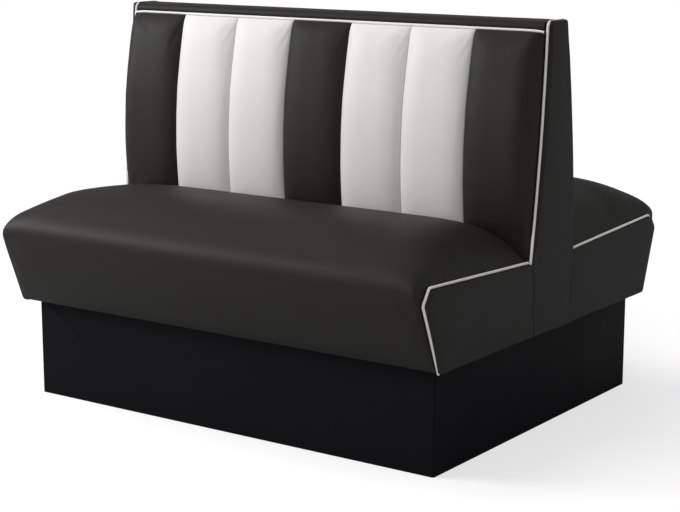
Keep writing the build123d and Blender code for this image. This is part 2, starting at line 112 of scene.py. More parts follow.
# PVC-coated upholstery vinyl: calendered and embossed with a fine leather grain, so the eye gets a
# broad soft sheen, broken up by tiny pebbles and by slow waves where it is stretched over foam
def makeVinyl(name, look):
    material, tree = newMaterial(name)
    place = addNode(tree, "ShaderNodeTexCoord").outputs["Object"]
    clouds = addNode(tree, "ShaderNodeTexNoise",
                     {"Scale": 1 / look["cloudSize"], "Detail": 3.0, "Roughness": 0.55},
                     {"Vector": place}).outputs["Fac"]
    # grain of about 1.6 mm in life, drawn a little coarser so that it shows
    grain = addNode(tree, "ShaderNodeTexVoronoi",
                    {"feature": "DISTANCE_TO_EDGE", "Scale": 1 / look["grainSize"]},
                    {"Vector": place}).outputs["Distance"]
    pebble = addNode(tree, "ShaderNodeMapRange",
                     {"interpolation_type": "SMOOTHSTEP", "From Min": 0.0, "From Max": 0.32},
                     {"Value": grain}).outputs["Result"]
    patches = addNode(tree, "ShaderNodeMix",
                      {"data_type": "RGBA", 6: hexColour(look["shade"]), 7: hexColour(look["colour"])},
                      {0: clouds}).outputs[2]
    tone = addNode(tree, "ShaderNodeMix",
                   {"data_type": "RGBA", "blend_type": "MULTIPLY", 0: look["grainTint"]},
                   {6: patches, 7: pebble}).outputs[2]
    gloss = addNode(tree, "ShaderNodeMapRange",
                    {"From Min": 0.3, "From Max": 0.7, "To Min": look["rough"][0], "To Max": look["rough"][1]},
                    {"Value": clouds}).outputs["Result"]
    waves = addNode(tree, "ShaderNodeTexNoise", {"Scale": 1 / look["waveSize"], "Detail": 1.0},
                    {"Vector": place}).outputs["Fac"]
    waveBump = addNode(tree, "ShaderNodeBump", {"Strength": 1.0, "Distance": look["waveHeight"]},
                       {"Height": waves}).outputs["Normal"]
    if "crease" in look:
        waveBump = addCrease(tree, place, waveBump, look["crease"])
    grainBump = addNode(tree, "ShaderNodeBump",
                        {"Strength": look["grainStrength"], "Distance": look["grainHeight"]},
                        {"Height": pebble, "Normal": waveBump}).outputs["Normal"]
    shader = addNode(tree, "ShaderNodeBsdfPrincipled", {"IOR": 1.5, "Specular IOR Level": look["specular"]},
                     {"Base Color": tone, "Roughness": gloss, "Normal": grainBump}).outputs["BSDF"]
    addNode(tree, "ShaderNodeOutputMaterial", None, {"Surface": shader})
    return material


blackVinyl = makeVinyl("embossedVinylBlack", {
    "colour": "#282725", "shade": "#252422", "cloudSize": 0.16, "grainSize": 0.0021, "grainTint": 0.22,
    "rough": (0.54, 0.60), "waveSize": 0.11, "waveHeight": 0.0005, "grainStrength": 0.35, "grainHeight": 0.00016,
    "specular": 0.26})
whiteVinyl = makeVinyl("embossedVinylWhite", {
    "colour": "#e8e5e2", "shade": "#e1deda", "cloudSize": 0.14, "grainSize": 0.0021, "grainTint": 0.05,
    "rough": (0.44, 0.52), "waveSize": 0.09, "waveHeight": 0.0005, "grainStrength": 0.3, "grainHeight": 0.00014,
    "specular": 0.3})
# the piping is a strip of the white vinyl folded round a cord, so it is a little duller where it is stretched; its
# colours are set lighter than the white vinyl's, partly as painted light that brightens its shaded sides
pipingVinyl = makeVinyl("pipingVinylLightenedOffWhite", {
    "colour": "#f8f6f3", "shade": "#edebe7", "cloudSize": 0.03, "grainSize": 0.0013, "grainTint": 0.1,
    "rough": (0.42, 0.52), "waveSize": 0.02, "waveHeight": 0.0002, "grainStrength": 0.25, "grainHeight": 0.0001,
    "specular": 0.35})
# thin leatherette stretched and stapled over the plinth boards: flatter, duller and a bit bluish
plinthLeatherette = makeVinyl("plinthLeatheretteBlack", {
    "colour": "#0d0c13", "shade": "#0b0a10", "cloudSize": 0.2, "grainSize": 0.0024, "grainTint": 0.3,
    "rough": (0.55, 0.66), "waveSize": 0.14, "waveHeight": 0.0009, "grainStrength": 0.4, "grainHeight": 0.00018,
    "specular": 0.12,
    # in front of frontY only, from the top left of the front down to the right
    "crease": {"from": (-0.560, 0, 0.230), "to": (-0.425, 0, 0.145), "width": 0.016, "fade": 0.02,
               "height": 0.0045, "frontY": -0.44}})


# rotary-cut birch plywood: pale, with long faint grain lines and a dry surface
def makePlywood():
    look = {"light": "#d3b78c", "dark": "#bd9b6c", "grainLength": 0.22, "grainWidth": 0.006,
            "grainHeight": 0.0002, "rough": 0.7}
    material, tree = newMaterial("birchPlywoodRaw")
    place = addNode(tree, "ShaderNodeTexCoord").outputs["Object"]
    long, thin = 1 / look["grainLength"], 1 / look["grainWidth"]
    stretched = addNode(tree, "ShaderNodeMapping", {"Scale": (long, thin, thin)},
                        {"Vector": place}).outputs["Vector"]
    grain = addNode(tree, "ShaderNodeTexNoise", {"Scale": 1.0, "Detail": 5.0, "Distortion": 0.4},
                    {"Vector": stretched}).outputs["Fac"]
    tone = addNode(tree, "ShaderNodeMix",
                   {"data_type": "RGBA", 6: hexColour(look["dark"]), 7: hexColour(look["light"])},
                   {0: grain}).outputs[2]
    bump = addNode(tree, "ShaderNodeBump", {"Strength": 0.4, "Distance": look["grainHeight"]},
                   {"Height": grain}).outputs["Normal"]
    shader = addNode(tree, "ShaderNodeBsdfPrincipled", {"Roughness": look["rough"], "IOR": 1.5},
                     {"Base Color": tone, "Normal": bump}).outputs["BSDF"]
    addNode(tree, "ShaderNodeOutputMaterial", None, {"Surface": shader})
    return material


# zinc-plated steel bolts: grey metal with a faintly mottled passivated layer
def makeZinc():
    look = {"dark": "#a9acae", "light": "#c6c8c8", "spotSize": 0.003, "rough": (0.28, 0.42)}
    material, tree = newMaterial("zincPlatedSteel")
    place = addNode(tree, "ShaderNodeTexCoord").outputs["Object"]
    mottle = addNode(tree, "ShaderNodeTexNoise", {"Scale": 1 / look["spotSize"], "Detail": 2.0},
                     {"Vector": place}).outputs["Fac"]
    tone = addNode(tree, "ShaderNodeMix",
                   {"data_type": "RGBA", 6: hexColour(look["dark"]), 7: hexColour(look["light"])},
                   {0: mottle}).outputs[2]
    gloss = addNode(tree, "ShaderNodeMapRange", {"To Min": look["rough"][0], "To Max": look["rough"][1]},
                    {"Value": mottle}).outputs["Result"]
    shader = addNode(tree, "ShaderNodeBsdfPrincipled", {"Metallic": 1.0},
                     {"Base Color": tone, "Roughness": gloss}).outputs["BSDF"]
    addNode(tree, "ShaderNodeOutputMaterial", None, {"Surface": shader})
    return material


# moulded polyethylene glides: black, waxy, with a slight mould texture
def makeGlidePlastic():
    look = {"dark": "#141414", "light": "#1d1d1d", "pitSize": 0.0012, "pitDepth": 0.0001, "rough": 0.48}
    material, tree = newMaterial("mouldedPolyethyleneBlack")
    place = addNode(tree, "ShaderNodeTexCoord").outputs["Object"]
    pits = addNode(tree, "ShaderNodeTexNoise", {"Scale": 1 / look["pitSize"], "Detail": 2.0},
                   {"Vector": place}).outputs["Fac"]
    tone = addNode(tree, "ShaderNodeMix",
                   {"data_type": "RGBA", 6: hexColour(look["dark"]), 7: hexColour(look["light"])},
                   {0: pits}).outputs[2]
    bump = addNode(tree, "ShaderNodeBump", {"Strength": 0.3, "Distance": look["pitDepth"]},
                   {"Height": pits}).outputs["Normal"]
    shader = addNode(tree, "ShaderNodeBsdfPrincipled", {"Roughness": look["rough"], "IOR": 1.5},
                     {"Base Color": tone, "Normal": bump}).outputs["BSDF"]
    addNode(tree, "ShaderNodeOutputMaterial", None, {"Surface": shader})
    return material


birchPlywood = makePlywood()
zincSteel = makeZinc()
glidePlastic = makeGlidePlastic()
print("materials made")


def deselectAll():
    if bpy.context.object and bpy.context.object.mode != "OBJECT":
        bpy.ops.object.mode_set(mode="OBJECT")
    bpy.ops.object.select_all(action="DESELECT")


def selectOnly(piece):
    deselectAll()
    piece.select_set(True)
    bpy.context.view_layer.objects.active = piece


def nameIt(piece, name):
    piece.name = name
    piece.data.name = name
    return piece


def turnFacesOut(piece):
    selectOnly(piece)
    bpy.ops.object.mode_set(mode="EDIT")
    bpy.ops.mesh.select_all(action="SELECT")
    bpy.ops.mesh.normals_make_consistent(inside=False)
    bpy.ops.object.mode_set(mode="OBJECT")


# readies a mesh for code to pick its corners, edges or faces: kind is VERT, EDGE or FACE
def pickNothing(kind):
    bpy.ops.object.mode_set(mode="EDIT")
    bpy.ops.mesh.select_mode(type=kind)
    bpy.ops.mesh.select_all(action="DESELECT")
    bpy.ops.object.mode_set(mode="OBJECT")


# picks the edges whose two ends are more than a distance apart along an axis, and stays in edit mode
def pickLongEdges(mesh, axis, distance):
    for edge in mesh.edges:
        a, b = (mesh.vertices[i].co for i in edge.vertices)
        edge.select = abs(a[axis] - b[axis]) > distance
    bpy.ops.object.mode_set(mode="EDIT")


# closes a piece: place into its mesh, faces out, smooth shading, finish and body
def finishPiece(piece, material, replaced, angle):
    selectOnly(piece)
    bpy.ops.object.transform_apply(location=True, rotation=True, scale=True)
    turnFacesOut(piece)
    bpy.ops.object.shade_smooth_by_angle(angle=math.radians(angle))
    piece.data.materials.clear()
    piece.data.materials.append(material)
    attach(piece, "root")
    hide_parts(*replaced)
    return piece


# copies a piece with its own mesh and turns it half round the booth's middle, onto the other bench
def turnedCopy(piece, name):
    selectOnly(piece)
    bpy.ops.object.duplicate()
    twin = nameIt(bpy.context.object, name)
    twin.data.transform(Matrix.Rotation(math.pi, 4, "Z"))
    return twin


# a closed tube of rings along X or Z, with the ring and the place in the ring of each vertex
def makeRings(name, around, rings, axis):
    turn = (0, math.pi / 2, 0) if axis == "X" else (0, 0, 0)
    deselectAll()
    bpy.ops.mesh.primitive_cylinder_add(vertices=around, radius=0.2, depth=2.0, end_fill_type="NGON",
                                        rotation=turn)
    piece = nameIt(bpy.context.object, name)
    bpy.ops.object.transform_apply(location=False, rotation=True, scale=False)
    pickNothing("EDGE")
    run = 0 if axis == "X" else 2
    mesh = piece.data
    pickLongEdges(mesh, run, 1.0)
    bpy.ops.mesh.subdivide(number_cuts=rings - 2)
    bpy.ops.object.mode_set(mode="OBJECT")
    places = np.array([v.co[:] for v in mesh.vertices])
    ring = np.rint((places[:, run] + 1) / 2 * (rings - 1)).astype(int)
    if axis == "X":
        angle = np.arctan2(places[:, 2], places[:, 1])
    else:
        angle = np.arctan2(places[:, 1], places[:, 0])
    step = 2 * math.pi / around
    spot = np.rint((angle - angle.min()) / step).astype(int) % around
    return piece, ring, spot


def setPlaces(piece, places):
    piece.data.vertices.foreach_set("co", np.asarray(places, float).ravel())
    piece.data.update()


def getPlaces(piece):
    places = np.empty(len(piece.data.vertices) * 3)
    piece.data.vertices.foreach_get("co", places)
    return places.reshape(-1, 3)


# what all stuffed covers share in the cloth simulation
cover = {"quality": 6, "mass": 0.4, "frames": 20}


# swells a cushion with cloth under pressure, its seams held, and limits how far each point goes
def swell(piece, held, settings):
    before = getPlaces(piece)
    selectOnly(piece)
    seam = piece.vertex_groups.new(name="seam")
    seam.add([int(i) for i in np.nonzero(held)[0]], 1.0, "REPLACE")
    bpy.ops.object.modifier_add(type="CLOTH")
    cloth = piece.modifiers[-1]
    cloth.settings.quality = cover["quality"]
    cloth.settings.mass = cover["mass"]
    cloth.settings.tension_stiffness = settings["stretch"]
    cloth.settings.compression_stiffness = settings["stretch"]
    cloth.settings.bending_stiffness = settings["bending"]
    cloth.settings.use_pressure = True
    cloth.settings.uniform_pressure_force = settings["pressure"]
    cloth.settings.effector_weights.gravity = 0
    cloth.settings.vertex_group_mass = "seam"
    for step in range(1, cover["frames"] + 1):
        scene.frame_set(step)
    bpy.ops.object.modifier_apply(modifier=cloth.name)
    scene.frame_set(1)
    moves = getPlaces(piece) - before
    far = np.linalg.norm(moves, axis=1, keepdims=True)
    limit = settings["cap"] * np.tanh(far / settings["cap"]) / np.maximum(far, 1e-9)    # eases into it
    setPlaces(piece, before + moves * limit)
    piece.vertex_groups.clear()
    print("  swelled", piece.name, "by up to", round(float((far * limit).max()) * 1000, 1), "mm")


# relaxes the free points, as a stretched cover does
def relax(piece, held, rounds):
    mesh = piece.data
    for vertex, fixed in zip(mesh.vertices, held):
        vertex.select = not fixed
    for edge in mesh.edges:
        edge.select = False
    for face in mesh.polygons:
        face.select = False
    selectOnly(piece)
    bpy.ops.object.mode_set(mode="EDIT")
    bpy.ops.mesh.select_mode(type="VERT")
    bpy.ops.mesh.vertices_smooth(factor=0.5, repeat=rounds)
    bpy.ops.object.mode_set(mode="OBJECT")


# splits the end faces, which have many corners, and divides the mesh once
def divideOnce(piece):
    selectOnly(piece)
    pickNothing("FACE")
    for face in piece.data.polygons:
        face.select = len(face.vertices) > 4
    bpy.ops.object.mode_set(mode="EDIT")
    bpy.ops.mesh.quads_convert_to_tris(quad_method="BEAUTY", ngon_method="CLIP")
    bpy.ops.object.mode_set(mode="OBJECT")
    bpy.ops.object.modifier_add(type="SUBSURF")
    division = piece.modifiers[-1]
    division.levels = 1
    division.render_levels = 1
    bpy.ops.object.modifier_apply(modifier=division.name)


# an arc as a shallow parabola from a to b, standing out to the right of the way it runs
def bowed(a, b, rise, count):
    a, b = np.array(a), np.array(b)
    way = b - a
    outward = np.array((way[1], -way[0])) / np.linalg.norm(way)
    steps = np.linspace(0, 1, count, endpoint=False)[:, None]
    return a + way * steps + outward * 4 * rise * steps * (1 - steps)


# spaces points evenly along a line
def evenly(points, count):
    points = np.asarray(points)
    lengths = np.concatenate(([0], np.cumsum(np.linalg.norm(np.diff(points, axis=0), axis=1))))
    wanted = np.linspace(0, lengths[-1], count)
    columns = [np.interp(wanted, lengths, points[:, k]) for k in range(points.shape[1])]
    return np.stack(columns, axis=1)


# rounds a line's corners by a blur of that width, with both ends kept where they are
def softened(points, width):
    count = 600
    points = evenly(points, count)
    length = np.linalg.norm(np.diff(points, axis=0), axis=1).sum()
    sigma = width / (length / count)
    reach = int(min(3 * sigma + 1, count - 2))
    kernel = np.exp(-0.5 * (np.arange(-reach, reach + 1) / max(sigma, 1e-6)) ** 2)
    kernel /= kernel.sum()
    low = 2 * points[0] - points[reach:0:-1]
    high = 2 * points[-1] - points[-2:-reach - 2:-1]
    longer = np.concatenate((low, points, high))
    columns = [np.convolve(longer[:, k], kernel, mode="valid") for k in range(points.shape[1])]
    return np.stack(columns, axis=1)


# foam and cover of one bench, as a crowned loaf that drops steeply to the piping at both ends
seat = {
    # corners of the outline as depth and height, from the foot over the nose, brow and top to the back
    "flat": ((0.473, 0.236), (0.537, 0.394), (0.514, 0.428), (0.330, 0.420), (0.136, 0.4116), (0.098, 0.407)),
    "full": ((0.4755, 0.236), (0.560, 0.426), (0.514, 0.4725), (0.370, 0.521), (0.136, 0.494), (0.098, 0.452)),
    "bulges": (0.0075, 0.009, 0.0132, 0.004, 0.005), "leastBulge": 0.0004,
    # how soon each corner is full, from the end inwards: the nose at once, the brow and the top later
    "powers": (240, 240, 21.0, 9.7, 10.5, 10.5), "roots": (4.4, 4.4, 2.5, 1.05, 1.2, 1.2),
    "deckTop": 0.388, "boardTop": 0.5209, "boardFoot": 0.4593,
    "softEnd": 0.003, "softMiddle": 0.012,          # how round the corners are at the ends and between
    "outerPoints": 76, "innerPoints": 16, "rings": 105, "crowding": 2.4, "relaxRounds": 3,
    "cloth": {"pressure": 3.0, "stretch": 18, "bending": 2.0, "cap": 0.0025},
}


# the cushion's section at a share of the way from its middle to its end
def seatOutline(share):
    powers, roots = np.array(seat["powers"]), np.array(seat["roots"])
    crowns = np.maximum(1 - abs(share) ** powers, 0) ** (1 / roots)
    flat, full = np.array(seat["flat"]), np.array(seat["full"])
    corners = flat * (1 - crowns[:, None]) + full * crowns[:, None]
    crown = crowns[2]
    fullness = (crowns[1], crown, crown, crown, crown)
    runs = [bowed(a, b, max(rise * part, seat["leastBulge"]), 60)
            for a, b, rise, part in zip(corners, corners[1:], seat["bulges"], fullness)]
    line = np.concatenate(runs + [corners[-1:]])
    outer = softened(line, seat["softEnd"] + (seat["softMiddle"] - seat["softEnd"]) * crown)
    outer = evenly(outer, seat["outerPoints"])
    back = corners[-1][0]
    under = [corners[-1], (back, seat["deckTop"]), (seat["boardTop"], seat["deckTop"]),
             (seat["boardFoot"], booth["floorOfSeat"]), corners[0]]
    inner = evenly(under, seat["innerPoints"] + 2)[1:-1]
    return np.concatenate((outer, inner))


def makeSeat():
    around = seat["outerPoints"] + seat["innerPoints"]
    piece, ring, spot = makeRings("frontSeatCushion", around, seat["rings"], "X")
    steps = np.linspace(-1, 1, seat["rings"])
    shares = np.sign(steps) * (1 - (1 - np.abs(steps)) ** seat["crowding"])     # closer at the ends
    outlines = np.array([seatOutline(share) for share in shares])
    places = np.empty((len(ring), 3))
    places[:, 0] = shares[ring] * booth["coverEnd"]
    places[:, 1] = -outlines[ring, spot, 0]
    places[:, 2] = outlines[ring, spot, 1]
    setPlaces(piece, places)
    turnFacesOut(piece)
    held = (spot >= seat["outerPoints"] - 3) | (spot < 2) | (ring < 2) | (ring >= seat["rings"] - 2)
    swell(piece, held, seat["cloth"])
    relax(piece, held, seat["relaxRounds"])
    divideOnce(piece)
    return piece


# the cushion of the rear bench is stuffed a little fuller, on top and at the two ends of its nose
fuller = {
    "height": 0.0055, "above": 0.425, "over": 0.05, "endPower": 22, "from": 0.13, "fade": 0.12,
    "noseOut": 1.2, "noseHeight": 0.438, "noseBand": 0.02, "noseStart": 0.80, "noseFade": 0.15,
    "noseDepth": 0.44, "leastDepth": 0.3,
}


def plump(piece):
    f = fuller
    places = getPlaces(piece)
    share = np.abs(places[:, 0]) / booth["coverEnd"]
    depth = np.abs(places[:, 1])
    high = np.clip((places[:, 2] - f["above"]) / f["over"], 0, 1)
    inner = np.clip((depth - f["from"]) / f["fade"], 0, 1)
    rise = high * high * (3 - 2 * high) * (1 - share ** f["endPower"]) * inner
    places[:, 2] += f["height"] * rise
    nose = np.exp(-((places[:, 2] - f["noseHeight"]) / f["noseBand"]) ** 2)
    nose = nose * np.clip((share - f["noseStart"]) / f["noseFade"], 0, 1) * (depth > f["noseDepth"])
    places[:, 1] *= 1 + f["noseOut"] * f["height"] * nose / np.maximum(depth, f["leastDepth"])
    setPlaces(piece, places)


frontSeat = makeSeat()
rearSeat = turnedCopy(frontSeat, "rearSeatCushion")
plump(rearSeat)
for cushion, bench in ((frontSeat, "front"), (rearSeat, "rear")):
    finishPiece(cushion, blackVinyl, (bench + "_seat_cover", bench + "_seat_foam"), 50)
print("seat cushions made")


# one channel of the back: a tube of vinyl stuffed from its foot behind the seat up to the top cap
channel = {
    "foot": 0.3963, "top": 0.9158, "count": 7, "halfRow": 0.593, "gap": 0.0003,
    # height and depth of the side panel's edge and of the board behind, at the foot and at the top
    "edgeFoot": (0.408, 0.096), "edgeTop": (0.941, 0.0395), "inset": 0.003,
    "boardFoot": (0.396, 0.080), "boardTop": (0.921, 0.025),
    # how far it stands out from the edge, and how much it bellies, at shares of its height
    "heights": (0, 0.084, 0.127, 0.151, 0.177, 0.26, 0.363, 0.519, 0.658, 0.771, 0.862, 0.929, 0.97, 1),
    "stands": (0, 0.04, 0.13, 0.18, 0.25, 0.46, 0.68, 0.87, 0.92, 0.83, 0.73, 0.63, 0.55, 0.38),
    "crowns": (0.05, 0.1, 0.25, 0.5, 0.85, 1, 1, 1, 1, 1, 1, 1, 0.90, 0.5),
    "stand": 0.037, "crown": 0.0175, "bellyPower": 3.0, "bellyRoot": 0.55, "blur": 0.035,
    "outer": 0.009, "roll": 0.034, "rollPower": 2.4,    # an end channel's outer half, rolled to the piping
    "frontPoints": 44, "wallPoints": 4, "backPoints": 10, "rings": 64, "relaxRounds": 2,
    "white": (2, 3, 5, 6),
    "cloth": {"pressure": 3.0, "stretch": 18, "bending": 1.0, "cap": 0.0025},
}
channelPitch = 2 * channel["halfRow"] / channel["count"]


# the depth at a height on the straight line between two points
def lineBetween(low, high, height):
    return low[1] + (high[1] - low[1]) * (height - low[0]) / (high[0] - low[0])


# one channel; side is -1 and 1 for the two ends of the back and 0 for those between
def makeChannel(name, number, side):
    c = channel
    around = c["frontPoints"] + 2 * c["wallPoints"] + c["backPoints"]
    piece, ring, spot = makeRings(name, around, c["rings"], "Z")
    lowX = number * channelPitch - c["halfRow"] + c["gap"]
    highX = lowX + channelPitch - 2 * c["gap"]
    half = (highX - lowX) / 2
    steps = np.linspace(0, 1, c["rings"])
    shares = 0.5 - 0.5 * np.cos(math.pi * steps)
    shares = 0.5 * shares + 0.5 * steps                 # rings lie closer at foot and top
    dense = np.linspace(0, 1, 400)
    stands, crowns = (softened(np.stack((dense, np.interp(dense, c["heights"], c[key])), axis=1), c["blur"])
                      for key in ("stands", "crowns"))
    sections = []
    for share in shares:
        height = c["foot"] + (c["top"] - c["foot"]) * share
        back = lineBetween(c["boardFoot"], c["boardTop"], height) + c["gap"]
        sideEdge = lineBetween(c["edgeFoot"], c["edgeTop"], height) - c["inset"]
        face = sideEdge + c["stand"] * np.interp(share, stands[:, 0], stands[:, 1])
        rise = c["crown"] * np.interp(share, crowns[:, 0], crowns[:, 1])
        u = np.sin(np.linspace(-1, 1, c["frontPoints"]) * math.pi / 2)
        x = (lowX + highX) / 2 + u * half + side * bowAt(height) * (1 + u * side) / 2
        belly = (1 - np.abs(u) ** c["bellyPower"]) ** c["bellyRoot"]
        out = face + rise * belly
        if side:
            inward = u * side < 0                       # the half that ends in a seam
            out = face + rise * np.where(inward, belly, 1)
            out = out + c["outer"] * np.interp(share, stands[:, 0], stands[:, 1]) * ((1 + u * side) / 2) ** 2
            gone = np.clip((1 - u * side) * half / c["roll"], 0, 1)
            out = sideEdge + (out - sideEdge) * np.sqrt(1 - (1 - gone) ** c["rollPower"])
        front = np.stack((x, out), axis=1)
        down = np.linspace(0, 1, c["wallPoints"] + 2)[1:-1]
        right = np.stack((np.full(len(down), x[-1]), out[-1] + (back - out[-1]) * down), axis=1)
        left = np.stack((np.full(len(down), x[0]), back + (out[0] - back) * down), axis=1)
        across = np.linspace(x[-1], x[0], c["backPoints"])
        rear = np.stack((across, np.full(c["backPoints"], back)), axis=1)
        sections.append(np.concatenate((front, right, rear, left)))
    sections = np.array(sections)
    places = np.empty((len(ring), 3))
    places[:, 0] = sections[ring, spot, 0]
    places[:, 1] = -sections[ring, spot, 1]
    places[:, 2] = (c["foot"] + (c["top"] - c["foot"]) * shares)[ring]
    setPlaces(piece, places)
    turnFacesOut(piece)
    held = (spot >= c["frontPoints"] - 1) | (spot < 1) | (ring < 2) | (ring >= c["rings"] - 2)
    swell(piece, held, c["cloth"])
    relax(piece, held, c["relaxRounds"])
    divideOnce(piece)
    return piece


endLeft = makeChannel("frontChannel1", 0, -1)
endRight = makeChannel("frontChannel7", 6, 1)
middle = makeChannel("frontChannel4", 3, 0)
frontChannels = {1: endLeft, 4: middle, 7: endRight}
for number in (2, 3, 5, 6):
    selectOnly(middle)
    bpy.ops.object.duplicate()
    twin = nameIt(bpy.context.object, "frontChannel" + str(number))
    twin.data.transform(Matrix.Translation(((number - 4) * channelPitch, 0, 0)))
    frontChannels[number] = twin
for number, front in sorted(frontChannels.items()):
    behind = channel["count"] + 1 - number
    rear = turnedCopy(front, "rearChannel" + str(behind))
    vinyl, slotName = (whiteVinyl, "white_vinyl") if number in channel["white"] else (blackVinyl, "black_vinyl")
    for piece, node in ((front, "front_channel_" + str(number)), (rear, "rear_channel_" + str(behind))):
        finishPiece(piece, vinyl, (node,), 50)
print("channels made")


# a flat outline in the YZ plane, drawn as a filled circle whose points are moved to the corners
def makeOutline(name, corners, x):
    deselectAll()
    bpy.ops.mesh.primitive_circle_add(vertices=len(corners), radius=0.1, fill_type="NGON")
    piece = nameIt(bpy.context.object, name)
    for vertex, (y, z) in zip(piece.data.vertices, corners):
        vertex.co = (x, y, z)
    piece.data.update()
    return piece


# a line through corners with a round turn of its own radius at each, as points
def turnedLine(corners, radii):
    corners = [Vector(c) for c in corners]
    points = [corners[0]]
    for before, corner, after, radius in zip(corners, corners[1:], corners[2:], radii):
        a, b = (before - corner).normalized(), (after - corner).normalized()
        half = math.acos(max(-1, min(1, a.dot(b)))) / 2
        reach = radius / math.tan(half)
        centre = corner + (a + b).normalized() * (radius / math.sin(half))
        start, finish = corner + a * reach - centre, corner + b * reach - centre
        for share in np.linspace(0, 1, 9):
            points.append(centre + start.slerp(finish, share).normalized() * radius)
    return points + [corners[-1]]


# a side panel: vinyl over 10 mm foam, full to its edges, with a round turn down to the piping. Both sides
# of its outline are given from the foot up, and rows run across from one to the other
panel = {
    "inner": 0.5926, "rim": 0.5975, "arcPoints": 8, "middlePoints": 18, "rows": 60,
    "crown": 0.0015, "crownReach": 0.03,
    "openTurn": 0.0028, "tightTurn": 0.0004,        # at the seam between seat and back, one side is tighter
}


# places along a length: close together at both ends, by a round edge's own turn, and even between
def padSteps(length, turn, middle):
    near = turn * (1 - np.cos(np.linspace(0, math.pi / 2, panel["arcPoints"])))
    return np.concatenate((near, np.linspace(turn, length - turn, middle + 2)[1:-1], length - near[::-1])) / length


# the shortest way from each point to a line of many corners
def distanceToLine(points, line):
    starts, ways = line[:-1], line[1:] - line[:-1]
    lengths = np.maximum((ways ** 2).sum(axis=1), 1e-12)
    along = np.clip(((points[:, None] - starts) * ways).sum(axis=2) / lengths, 0, 1)
    return np.linalg.norm(points[:, None] - starts - along[..., None] * ways, axis=2).min(axis=1)


# the points of one side at shares of its height
def alongSide(line, shares):
    share = (line[:, 1] - line[0, 1]) / (line[-1, 1] - line[0, 1])
    return np.stack([np.interp(shares, share, line[:, k]) for k in (0, 1)], axis=1)


def makeSidePanel(name, look, side):
    front, rear = np.array(look["front"]), np.array(look["rear"])
    high = front[-1, 1] - front[0, 1]
    rows = padSteps(high, look["turn"], panel["rows"])
    a, b = alongSide(front, rows), alongSide(rear, rows)
    across = len(padSteps(0.1, look["turn"], panel["middlePoints"]))
    deselectAll()
    bpy.ops.mesh.primitive_grid_add(x_subdivisions=across - 1, y_subdivisions=len(rows) - 1, size=2)
    piece = nameIt(bpy.context.object, name)
    spots = getPlaces(piece)
    column = np.rint((spots[:, 0] + 1) / 2 * (across - 1)).astype(int)
    row = np.rint((spots[:, 1] + 1) / 2 * (len(rows) - 1)).astype(int)
    spread = [padSteps(np.linalg.norm(q - p), look["turn"], panel["middlePoints"]) for p, q in zip(a, b)]
    shares = np.array(spread)[row, column]
    flat = a[row] + (b[row] - a[row]) * shares[:, None]
    outline = np.concatenate((front, rear[::-1], front[:1]))
    away = distanceToLine(flat, outline)
    turn = np.interp(flat[:, 1], look["turnHeights"], look["turns"])
    byBack = (flat[:, 0] > look["seam"][0]) & (flat[:, 1] < look["seam"][1])
    turn = np.where(byBack, np.where(flat[:, 0] * side < 0, panel["openTurn"], panel["tightTurn"]), turn)
    lift = np.interp(flat[:, 1], look["turnHeights"], look["lifts"] if side < 0 else look["rightLifts"])
    rise = lift * np.sqrt(1 - (1 - np.clip(away / turn, 0, 1)) ** 2)
    rise += panel["crown"] * (1 - np.exp(-(away / panel["crownReach"]) ** 2))
    bow = bowAt(flat[:, 1]) if look["bowed"] else 0
    out = side * (panel["rim"] + bow + rise)
    setPlaces(piece, np.stack((out, flat[:, 0], flat[:, 1]), axis=1))
    selectOnly(piece)
    bpy.ops.object.mode_set(mode="EDIT")
    bpy.ops.mesh.select_all(action="SELECT")
    bpy.ops.mesh.extrude_region_move(TRANSFORM_OT_translate={"value": (0, 0, 0)})
    bpy.ops.transform.resize(value=(0, 1, 1), center_override=(side * panel["inner"], 0, 0))
    bpy.ops.object.mode_set(mode="OBJECT")
    return piece


# round corners on a side's line
def roundedSide(points, radii):
    line = turnedLine([(0, *p) for p in points], radii)
    return [(p[1], p[2]) for p in line]


# turns and lifts are how far in the round edge reaches, and how far out it stands, at turnHeights; lifts are
# for the left end and rightLifts for the right; seam is the lowest Y and the highest Z of what meets the back
seatPanel = {
    "front": roundedSide(((-0.4600, 0.2363), (-0.4765, 0.2364), (-0.5350, 0.3950), (-0.5125, 0.4252),
                          (-0.4900, 0.42345)), (0.010, 0.018, 0.016)),
    "rear": ((-0.0836, 0.2363), (-0.0949, 0.4062)),
    "turn": 0.004, "turnHeights": (0.236, 0.43), "turns": (0.004, 0.004),
    "lifts": (0.0090, 0.0090), "rightLifts": (0.0090, 0.0090),
    "seam": (-0.112, 1), "bowed": False,
}
backSide = roundedSide(((-0.0837, 0.2363), (-0.0950, 0.4060), (-0.0362, 0.9416), (0, 0.9416)), (0.02, 0.008))
backPanel = {
    "front": backSide[:-1], "rear": [(-y, z) for y, z in backSide[:-1]],
    "turn": 0.005, "turnHeights": (0.236, 0.40, 0.45, 0.65, 0.86, 0.90, 0.94),
    "turns": (0.0028, 0.0028, 0.005, 0.005, 0.0045, 0.0045, 0.004),
    "lifts": (0.0090, 0.0072, 0.0100, 0.0125, 0.0146, 0.0165, 0.0190),
    "rightLifts": (0.0090, 0.0072, 0.0095, 0.0115, 0.0120, 0.0110, 0.0110),
    "seam": (-1, 0.409), "bowed": True,
}
for end, side in (("left", -1), ("right", 1)):
    front = makeSidePanel("frontSeat" + end.title() + "Panel", seatPanel, side)
    turned = "right" if end == "left" else "left"
    rear = turnedCopy(front, "rearSeat" + turned.title() + "Panel")
    finishPiece(front, blackVinyl, ("front_seat_" + end + "_side_panel",), 60)
    finishPiece(rear, blackVinyl, ("rear_seat_" + turned + "_side_panel",), 60)
    back = makeSidePanel("back" + end.title() + "Panel", backPanel, side)
    finishPiece(back, blackVinyl, ("back_" + end + "_side_panel",), 60)

